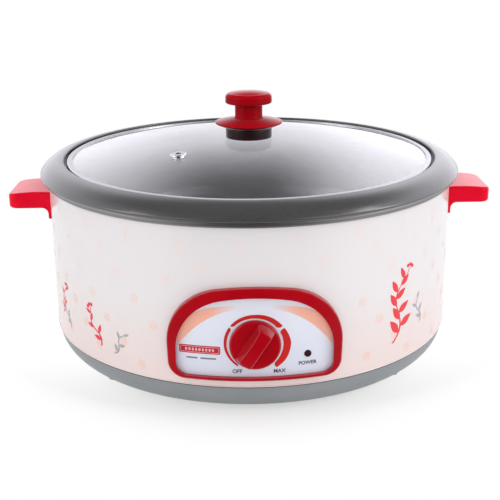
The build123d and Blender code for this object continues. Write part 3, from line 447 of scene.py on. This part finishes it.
steels = {name: steelFinish(name, *values) for name, values in steelTones.items()}
reds = {name: redFinish(name, *values) for name, values in redTones.items()}
finishes = {name: innerFinish(name, *values) for name, values in innerTones.items()}
finishes.update({
    "printed_enamel": enamelFinish(), "bright_steel": steels["brightSteel"],
    "grey_plastic": greyPlasticFinish(), "black_plastic": blackPlasticFinish(),
    "nonstick_pot": nonstickFinish(), "lid_glass": glassFinish(), "white_plastic": plateFinish(),
    "lamp_red": lampFinish(), "red_plastic": reds["redGloss"],
})
# pieces whose finish differs from that of their slot; the handles' red is a lighter copy, painted light,
# and the rim's steel a darker copy, painted shade
ownFinishes = {
    "handle_left": reds["litHandleRed"], "handle_right": reds["litHandleRed"], "lid_knob": reds["redKnob"],
    "lid_rim": steels["shadedRimSteel"],
}
for part in frame["record"]["subparts"]:
    node = nodes[part["node"]]
    finish = ownFinishes.get(part["node"], finishes[part["material_slot"]])
    node.data.materials.clear()
    node.data.materials.append(finish.material)
# the domed glass would double the knob and what holds it
for name in ("lid_knob", "knob_base", "knob_insert", "knob_screw", "knob_gasket", "knob_washer"):
    nodes[name].visible_glossy = False
for name in ("lid_knob", "knob_insert"):
    nodes[name].visible_transmission = False
print("finishes made:", len({*finishes.values(), *steels.values(), *reds.values()}))


rings = {
    "trimInner": 158.5, "trimOuter": 166.6, "trimLow": 140.6, "trimTop": 145.4, "trimRound": 1.9,
    "slotInner": 162.9, "slotOuter": 163.9, "slotTop": 143.0,
    "beadRadius": 163.75, "beadHeight": 22.5, "beadRound": 0.5,
    # the band under the hem: a dark ring that is painted shade in the groove above the base
    "shadeBandRadius": 163.45, "shadeBandInner": 162.2, "shadeBandLow": 21.2, "shadeBandTop": 21.95,
}


def makeRings():
    # the steel ring on the shell's top edge, darkened as painted shade under the collar, the rolled hem
    # at its foot and a dark ring under the hem that is painted shade in the groove
    r = rings
    corner = r["trimOuter"] - r["trimRound"]
    trim = [(r["trimInner"], r["trimLow"]), (r["slotInner"], r["trimLow"]),
            (r["slotInner"], r["slotTop"]), (r["slotOuter"], r["slotTop"]),
            (r["slotOuter"], r["trimLow"]),
            *cornerArc(corner, r["trimLow"] + r["trimRound"], r["trimRound"], -90, 0),
            *cornerArc(corner, r["trimTop"] - r["trimRound"], r["trimRound"], 0, 90),
            (r["trimInner"], r["trimTop"])]
    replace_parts(lathe("shellTrim", trim, steels["shadedTrimSteel"]), "trim_ring")
    bead = cornerArc(r["beadRadius"], r["beadHeight"], r["beadRound"], -90, 270, 13)[:-1]
    lathe("shellHem", bead, finishes["printed_enamel"])
    # a dark ring in black rubber under the hem, painted shade of the groove rather than a seal
    shadeBand = [(r["shadeBandInner"], r["shadeBandLow"]), (r["shadeBandRadius"], r["shadeBandLow"]),
            (r["shadeBandRadius"], r["shadeBandTop"]), (r["shadeBandInner"], r["shadeBandTop"])]
    lathe("hemShadeBand", shadeBand, finishes["black_rubber"])


makeRings()
print("rings made")


inkColors = {
    "redInk": (0.78, 0.05, 0.065), "greyInk": (0.4, 0.385, 0.4), "scaleInk": (0.56, 0.012, 0.008),
    "darkInk": (0.05, 0.05, 0.06), "dashInk": (0.2, 0.19, 0.22), "barInk": (0.5, 0.012, 0.035),
    "lineInk": (0.66, 0.4, 0.43),
}
inkGrain = {"scale": 1500, "depth": 0.00001}


def inkFinish(name, color):
    # a grain between the colour and a slightly lighter one
    finish = Finish(name, color, 0.3, Specular_IOR_Level=0.15)
    grain = finish.noise(inkGrain["scale"], 3)
    lighter = tuple(min(1.0, 1.12 * c + 0.01) for c in color)
    finish.paint(Base_Color=finish.blend(grain, color, lighter), Roughness=0.24 + 0.12 * grain)
    finish.bump(grain, inkGrain["depth"])
    return finish


inks = {name: inkFinish(name, color) for name, color in inkColors.items()}

# the print of the control plate, in mm and degrees: sideways from its middle, and height
panel = {
    "radius": 165.4, "dialZ": 56.5, "lift": 0.05,
    "scaleTurns": (215, 260, 305, 360, 418, 450, 480, 501),         # clockwise from the top
    "scaleOuter": (21.3, 22.0, 21.8, 21.7, 23.2, 25.4, 25.2, 24.0),
    "scaleWide": (1.5, 2.0, 2.3, 2.7, 4.0, 5.4, 5.0, 3.6),
    "scaleParts": ((215, 304), (308, 417), (422, 501)), "scaleStep": 3,
    "scaleEnd": 0.55, "scaleSlope": 12,                             # how the ends of its parts narrow
    "bar": (-53.6, -24.4, 47.6, 53.8), "barRound": 1.2, "barLine": 0.35, "barInset": 0.8,
    "dashes": ((-48.6, -40.6), (-38.6, -27.4)), "dashZ": 44.2, "dashWide": 1.2, "dashRound": 0.4,
    "pips": (-48.5, -29.5, 9), "pip": (0.75, 1.1), "pipRound": 0.7,
    "words": (("OFF", -12.6, 34.0, 2.8), ("MAX", 17.2, 33.8, 2.8), ("POWER", 37.2, 38.4, 2.6)),
    "stroke": 0.12, "capitals": 0.7,                                # capitals are a share of the size
}
platePrint = (panel["radius"] + panel["lift"]) * mm


def flatToPlate(x, z):
    # straight sideways and height in mm: an angle round the pot and a height in metres
    return np.stack(np.broadcast_arrays(np.arcsin(x / panel["radius"]), z * mm), -1)


def makeScale():
    # arcs round the dial: radius is a share v of the way from the inner to the outer line
    grids = []
    for start, end in panel["scaleParts"]:
        turn = np.linspace(start, end, int((end - start) / panel["scaleStep"]))[:, None]
        outer = np.interp(turn, panel["scaleTurns"], panel["scaleOuter"])
        wide = np.interp(turn, panel["scaleTurns"], panel["scaleWide"])
        u = (turn - start) / (end - start)
        wide = wide * np.minimum(1, panel["scaleSlope"] * np.minimum(u, 1 - u) + panel["scaleEnd"])
        v = np.linspace(0, 1, 4)[None, :]
        reach = outer - wide * (1 - v)
        angle = np.radians(turn)
        grid = flatToPlate(reach * np.sin(angle), panel["dialZ"] + reach * np.cos(angle))
        grids.append((grid, False))
    printPiece("dialScale", grids, platePrint, inks["scaleInk"])


def roundedOutline(x0, x1, z0, z1, corner):
    # the outline of a box with round corners, in short steps that follow the plate's curve
    centers = ((x1 - corner, z0 + corner, 270), (x1 - corner, z1 - corner, 0),
               (x0 + corner, z1 - corner, 90), (x0 + corner, z0 + corner, 180))
    arcs = [np.stack([x + corner * np.cos(t), z + corner * np.sin(t)], -1)
            for x, z, first in centers for t in [np.radians(first + np.linspace(0, 90, 7))]]
    share = np.linspace(0, 1, 14)[1:-1, None]
    sides = [arc[-1] * (1 - share) + following[0] * share
             for arc, following in zip(arcs, arcs[1:] + arcs[:1])]
    return np.concatenate([run for pair in zip(arcs, sides) for run in pair])


def roundedBox(x0, x1, z0, z1, corner):
    # its outline, and the same shrunk in height to the middle line
    outline = roundedOutline(x0, x1, z0, z1, corner)
    middle = (z0 + z1) / 2
    return np.stack([flatToPlate(outline[:, 0], middle + (outline[:, 1] - middle) * s)
                     for s in (0, 0.6, 1)])


def roundedBand(x0, x1, z0, z1, corner, wide):
    # between the outline of a box with round corners and the same outline further in
    inner = roundedOutline(x0 + wide, x1 - wide, z0 + wide, z1 - wide, corner - wide)
    outer = roundedOutline(x0, x1, z0, z1, corner)
    return np.stack([flatToPlate(inner[:, 0], inner[:, 1]), flatToPlate(outer[:, 0], outer[:, 1])])


def makeLabels():
    # a bar with a thin frame and pips on it, and two dashes below the bar
    x0, x1, z0, z1 = panel["bar"]
    inset, corner = panel["barInset"], panel["barRound"]
    onBar = platePrint + inkThickness
    bar = roundedBox(x0, x1, z0, z1, corner)
    band = roundedBand(x0 + inset, x1 - inset, z0 + inset, z1 - inset, corner, panel["barLine"])
    first, last, count = panel["pips"]
    wide, tall = panel["pip"]
    middle = (z0 + z1) / 2
    pips = [(roundedBox(x - wide, x + wide, middle - tall, middle + tall, panel["pipRound"]), True)
            for x in np.linspace(first, last, count)]
    z, half = panel["dashZ"], panel["dashWide"] / 2
    dashes = [(roundedBox(a, b, z - half, z + half, panel["dashRound"]), True)
              for a, b in panel["dashes"]]
    printPiece("nameBar", [(bar, True)], platePrint, inks["barInk"])
    printPiece("barLine", [(band, True)], onBar, inks["lineInk"])
    printPiece("barPips", pips, onBar, inks["lineInk"])
    printPiece("barDashes", dashes, platePrint, inks["dashInk"])


def makeWords():
    # a flat text becomes a mesh, and then its points are wrapped round the plate
    for text, x, z, height in panel["words"]:
        curve = bpy.data.curves.new("word" + text, "FONT")
        curve.body = text
        curve.size = height / panel["capitals"]
        curve.align_x = "CENTER"
        curve.offset = panel["stroke"]
        holder = bpy.data.objects.new("word" + text, curve)
        bpy.context.scene.collection.objects.link(holder)
        bpy.context.view_layer.update()
        mesh = bpy.data.meshes.new_from_object(holder)
        bpy.data.objects.remove(holder)
        flat = np.zeros(3 * len(mesh.vertices))
        mesh.vertices.foreach_get("co", flat)
        flat = flat.reshape(-1, 3)
        places = wrapped(flatToPlate(x + flat[:, 0], z + flat[:, 1]), platePrint)
        mesh.vertices.foreach_set("co", places.ravel())
        mesh.update()
        word = bpy.data.objects.new("label" + text.capitalize(), mesh)
        bpy.context.scene.collection.objects.link(word)
        thicken(word)
        dress(word, inks["darkInk"])


# in mm: points of the outer and the inner curve, from low outside to high inside
crescents = {
    "outer": ((55.0, 52.4), (52.0, 66.4), (45.0, 76.8), (33.0, 81.9), (13.0, 85.0)),
    "inner": ((54.2, 52.8), (48.2, 60.9), (39.0, 69.9), (28.2, 77.0), (13.4, 82.4)),
    "tipTone": (0.75, 0.74, 0.79), "fullTone": (0.93, 0.44, 0.32), "grainTone": (0.9, 0.85, 0.8),
    "fade": (0.010, 0.033),                                         # sideways from the middle, in metres
}


def crescentFinish():
    # it fades towards the tips at the top
    finish = Finish("crescentInk", (0.9, 0.45, 0.33), 0.3)
    full = abs(finish.axis("X")).step(*crescents["fade"])
    grain = finish.noise(inkGrain["scale"], 3)
    tone = finish.blend(full, crescents["tipTone"], crescents["fullTone"])
    finish.paint(Base_Color=finish.blend(0.1 * grain, tone, crescents["grainTone"]),
                 Roughness=0.24 + 0.12 * grain)
    finish.bump(grain, inkGrain["depth"])
    return finish


def makeCrescents():
    # u runs along the two curves, and a share leads from the outer to the inner one;
    # each curve is the least-squares one of the third degree through its points
    u = np.linspace(0, 1, 40)[:, None]
    share = np.linspace(0, 1, 5)[None, :, None]
    curves = []
    for points in (np.array(crescents["outer"]), np.array(crescents["inner"])):
        knots = np.linspace(0, 1, len(points))
        axes = [np.polyval(np.polyfit(knots, points[:, k], 3), u) for k in (0, 1)]
        curves.append(np.stack(axes, -1))
    flat = curves[0] * (1 - share) + curves[1] * share
    finish = crescentFinish()
    for name, side in (("crescentRight", 1), ("crescentLeft", -1)):
        grid = flatToPlate(side * flat[..., 0], flat[..., 1])
        printPiece(name, [(grid[::side], False)], platePrint, finish)


def leafGrid(length, width, rows=7):
    # a leaf from the origin along +z: half its width is the sine of the share u of its length
    u = np.linspace(0, 1, rows)[:, None]
    v = np.array([-1, 0, 1])[None, :]
    x = v * width / 2 * np.sin(np.pi * u ** 0.85)          # widest a little below its middle
    return np.stack(np.broadcast_arrays(x, u * length), -1)


def discGrid(radius, columns=12):
    # rings round the origin out from its middle
    reach = np.array([0, 0.55, 1])[:, None] * radius
    turn = np.linspace(0, -2 * np.pi, columns, endpoint=False)[None, :]
    return np.stack([reach * np.sin(turn), reach * np.cos(turn)], -1)


def placed(flat, turn, x, z):
    # turned clockwise by an angle, then moved sideways and up, still in mm
    c, s = np.cos(turn), np.sin(turn)
    across, up = flat[..., 0], flat[..., 1]
    return np.stack([x + c * across + s * up, z - s * across + c * up], -1)


# the print of the shell, in mm; a sprig is its azimuth in degrees from the front, foot, height and lean
shellPrint = {
    "radius": 163.8, "lift": 0.05,
    "rowHeights": (33, 49, 65, 81, 97, 113, 128), "rowWave": 4.0, "waves": 5, "columns": 24,
    "petal": (3.9, 3.3), "petals": 5, "heart": 0.5,
    "plainTurn": 26, "plainTop": 98,                                # no blossoms behind the panel
    "redSprigs": ((39, 38, 58, 12), (-44, 36, 30, -28), (-66, 44, 26, 20), (98, 40, 54, -14),
                  (128, 44, 30, 24), (-104, 38, 52, 16), (-140, 42, 32, -22), (158, 38, 40, 10)),
    "greySprigs": ((51, 46, 24, -16), (-39, 34, 22, 30), (-60, 36, 24, -34), (108, 38, 26, 30),
                   (138, 36, 22, -30), (-95, 40, 24, -26), (-150, 38, 22, 28)),
    "berry": 1.5, "redLift": 0.02, "greyLift": 0.03,
    "lowTone": (0.86, 0.63, 0.58), "highTone": (0.82, 0.74, 0.73), "toneHeights": (0.035, 0.115),
}
inkRadius = (shellPrint["radius"] + shellPrint["lift"]) * mm


def onShell(flat, azimuth):
    # sideways in mm becomes an angle about a place round the pot, in degrees from the front
    return np.stack([math.radians(azimuth) + flat[..., 0] / shellPrint["radius"], flat[..., 1] * mm], -1)


def peachFinish():
    # fainter towards the top of the shell
    finish = Finish("peachInk", (0.84, 0.68, 0.63), 0.25)
    grain = finish.noise(inkGrain["scale"], 3)
    faint = finish.axis("Z").step(*shellPrint["toneHeights"])
    finish.paint(Base_Color=finish.blend(faint, shellPrint["lowTone"], shellPrint["highTone"]),
                 Roughness=0.2 + 0.1 * grain)
    finish.bump(grain, inkGrain["depth"])
    return finish


def makeBlossoms():
    # petals round a heart, on rows that wave up and down round the pot
    grids = []
    length, width = shellPrint["petal"]
    petal = leafGrid(length, width, 5)
    columns, heart = shellPrint["columns"], shellPrint["heart"]
    for row, height in enumerate(shellPrint["rowHeights"]):
        for column in range(columns):
            azimuth = (column + 0.5 * (row % 2) + 0.13 * row) * 360 / columns - 180
            wave = math.sin(shellPrint["waves"] * math.radians(azimuth) + row)
            z = height + shellPrint["rowWave"] * wave
            if abs(azimuth) < shellPrint["plainTurn"] and z < shellPrint["plainTop"]:
                continue
            for k in range(shellPrint["petals"]):
                turn = 0.7 * column + 0.4 * row + k * 2 * math.pi / shellPrint["petals"]
                flat = placed(petal, turn, heart * math.sin(turn), z + heart * math.cos(turn))
                grids.append((onShell(flat, azimuth), False))
    printPiece("blossomPrint", grids, inkRadius, peachFinish())


def sprigGrids(azimuth, z, height, lean, berries):
    # a stem whose middle line sways by a sine, leaves on both sides of it, and berries at its top
    u = np.linspace(0, 1, 20)[:, None]
    v = np.array([-1, 0, 1])[None, :]
    sway, bends = 0.09 * height, 2.4 * np.pi
    middle = sway * np.sin(bends * u)
    wide = 0.9 * (1 - 0.6 * u)
    grids = [np.stack(np.broadcast_arrays(middle + v * wide, u * height), -1)]
    for k, share in enumerate(np.linspace(0.14, 0.86, max(4, int(height / 6)))):
        side = 1 if k % 2 else -1
        size = (0.24 - 0.1 * share) * height + 2
        leaf = leafGrid(size, 0.42 * size)
        grids.append(placed(leaf, side * (0.95 - 0.3 * share), sway * math.sin(bends * share),
                            share * height))
    closed = [False] * len(grids) + [True] * berries
    for k in range(berries):
        turn = (k - (berries - 1) / 2) * 0.9
        x, up = middle[-1, 0] + 3.4 * math.sin(turn), height + 2.6 * math.cos(turn)
        grids.append(placed(discGrid(shellPrint["berry"]), 0, x, up))
    tilt = math.radians(lean)
    return [(onShell(placed(g, tilt, 0, z), azimuth), c) for g, c in zip(grids, closed)]


def makeSprigs():
    # the red ones carry three berries, and the grey ones none
    for name, ink, lift, berries in (("redSprigs", "redInk", "redLift", 3),
                                     ("greySprigs", "greyInk", "greyLift", 0)):
        grids = [pair for place in shellPrint[name] for pair in sprigGrids(*place, berries)]
        printPiece(name, grids, inkRadius + shellPrint[lift] * mm, inks[ink])


makeScale()
makeLabels()
makeWords()
makeCrescents()
makeBlossoms()
makeSprigs()
print("ink placed on the shell and the control plate")


# in metres and degrees; a box is its place, size, power and whether gloss and glass show it
studio = {
    "distance": 0.7853, "height": 0.3311, "tilt": 18.35, "turn": 1.0, "lens": 69.57,
    "roll": -0.0096,                                                # in radians
    "floorSize": 8.0, "floorWhite": (0.93, 0.93, 0.93), "shade": 0.5, "shadeEdge": (0.165, 0.215),
    "shadeFront": (-0.16, -0.06), "shadeBack": (0.07, 0.12), "darkFloor": (-0.4, 0),
    "sky": 0.62, "mirrorTop": 0.22, "mirrorLow": 0.76, "mirrorLeft": 0.97, "mirrorRight": 1.5,
    "mirrorFront": 0.15, "mirrorTint": (1.0, 0.985, 1.06),
    "lowSky": (0.22, 0.6), "highSky": (0.5, 0.85), "sideSky": (0.04, 0.28), "darkSky": (-0.5, -0.05),
    "boxes": {
        "frontBox": ((0.0, -1.9, 0.9), (1.6, 1.0), 6.8, False),
        "topBox": ((0.0, 0.1, 1.7), (1.4, 1.4), 5.0, False),
        "leftBox": ((-1.5, -0.6, 1.0), (0.5, 1.2), 6.0, True),
        "rightBox": ((1.5, -0.5, 1.0), (0.5, 1.2), 9.0, True),
    },
    "aim": (0, 0, 0.1),
}


def makeCamera():
    turn = math.radians(studio["turn"])
    distance = studio["distance"]
    data = bpy.data.cameras.new("camera")
    data.lens = studio["lens"]
    camera = bpy.data.objects.new("camera", data)
    bpy.context.scene.collection.objects.link(camera)
    camera.location = (-distance * math.sin(turn), -distance * math.cos(turn), studio["height"])
    tilt = Matrix.Rotation(math.radians(90 - studio["tilt"]), 4, "X")
    roll = Matrix.Rotation(studio["roll"], 4, "Z")
    camera.matrix_world = (Matrix.Translation(camera.location) @ Matrix.Rotation(-turn, 4, "Z")
                           @ tilt @ roll)
    bpy.context.scene.camera = camera


def makeFloor():
    half = studio["floorSize"] / 2
    points = np.array([(-half, -half, 0), (half, -half, 0), (half, half, 0), (-half, half, 0)])
    floor = meshPiece("floor", points, np.array([[0, 1, 2, 3]]))
    finish = Finish("floorPaper", studio["floorWhite"], 0.7)
    # the paper shades only near the pot, and further out it is the white of the background
    y = finish.axis("Y")
    side = y.step(*studio["shadeFront"]) * (1 - y.step(*studio["shadeBack"]))
    far = finish.radius().step(*studio["shadeEdge"]).most(side)
    shade = studio["shade"]
    away = (1 - shade + shade * far) * finish.ray("Camera", "Glossy", "Transmission")
    # mirrored, the paper is dim in front of the pot, where no lamp reaches
    reach = (y + 0.8 * abs(finish.axis("X"))).step(*studio["darkFloor"])
    dim = finish.ray("Glossy") * (1 - studio["mirrorFront"]) * (1 - reach)
    white = finish.add("ShaderNodeEmission", None, {"Strength": 1 - dim})
    mix = finish.add("ShaderNodeMixShader", None,
                     {0: away, 1: finish.shader.outputs[0], 2: white.outputs[0]})
    finish.setInputs(finish.tree.nodes["Material Output"], {"Surface": mix.outputs[0]})
    floor.data.materials.append(finish.material)


def softBox(name, place, size, power, mirrored):
    data = bpy.data.lights.new(name, "AREA")
    data.shape = "RECTANGLE"
    data.size, data.size_y = size
    data.energy = power
    light = bpy.data.objects.new(name, data)
    bpy.context.scene.collection.objects.link(light)
    direction = Vector(studio["aim"]) - Vector(place)
    light.location = place
    light.rotation_euler = direction.to_track_quat("-Z", "Y").to_euler()
    light.visible_glossy = mirrored
    light.visible_transmission = mirrored


def makeSky():
    # even light for the object; mirrored, it is bright low down and at the sides and dim overhead
    world = bpy.data.worlds.new("studio")
    bpy.context.scene.world = world
    world.use_nodes = True
    sky = Net(world.node_tree, "Generated")
    path = sky.add("ShaderNodeLightPath").outputs
    straight = 1 - Number(sky, path["Diffuse Depth"]).least(1)
    mirror = Number(sky, path["Glossy Depth"]).least(1) * straight
    x, z = sky.axis("X"), sky.axis("Z")
    low = 1 - z.step(*studio["lowSky"])
    right = x.step(*studio["sideSky"]) * studio["mirrorRight"]
    left = (0 - x).step(*studio["sideSky"]) * studio["mirrorLeft"]
    sides = (right + left) * (1 - 0.6 * low) * (1 - z.step(*studio["highSky"]))
    mirrored = studio["mirrorTop"] + studio["mirrorLow"] * low + sides
    # mirrored, the room in front of the pot is dark
    front = studio["mirrorFront"]
    reach = (sky.axis("Y") + 1.2 * abs(x)).step(*studio["darkSky"])
    mirrored = mirrored * (front + (1 - front) * reach)
    strength = straight * (1 - mirror) + mirror * mirrored + (1 - straight) * studio["sky"]
    tint = sky.blend(mirror, (1.0, 1.0, 1.0), studio["mirrorTint"])
    sky.setInputs(world.node_tree.nodes["Background"], {"Color": tint, "Strength": strength})


makeCamera()
makeFloor()
makeSky()
for name, values in studio["boxes"].items():
    softBox(name, *values)
bpy.context.scene.view_settings.view_transform = "Standard"
print("studio made")
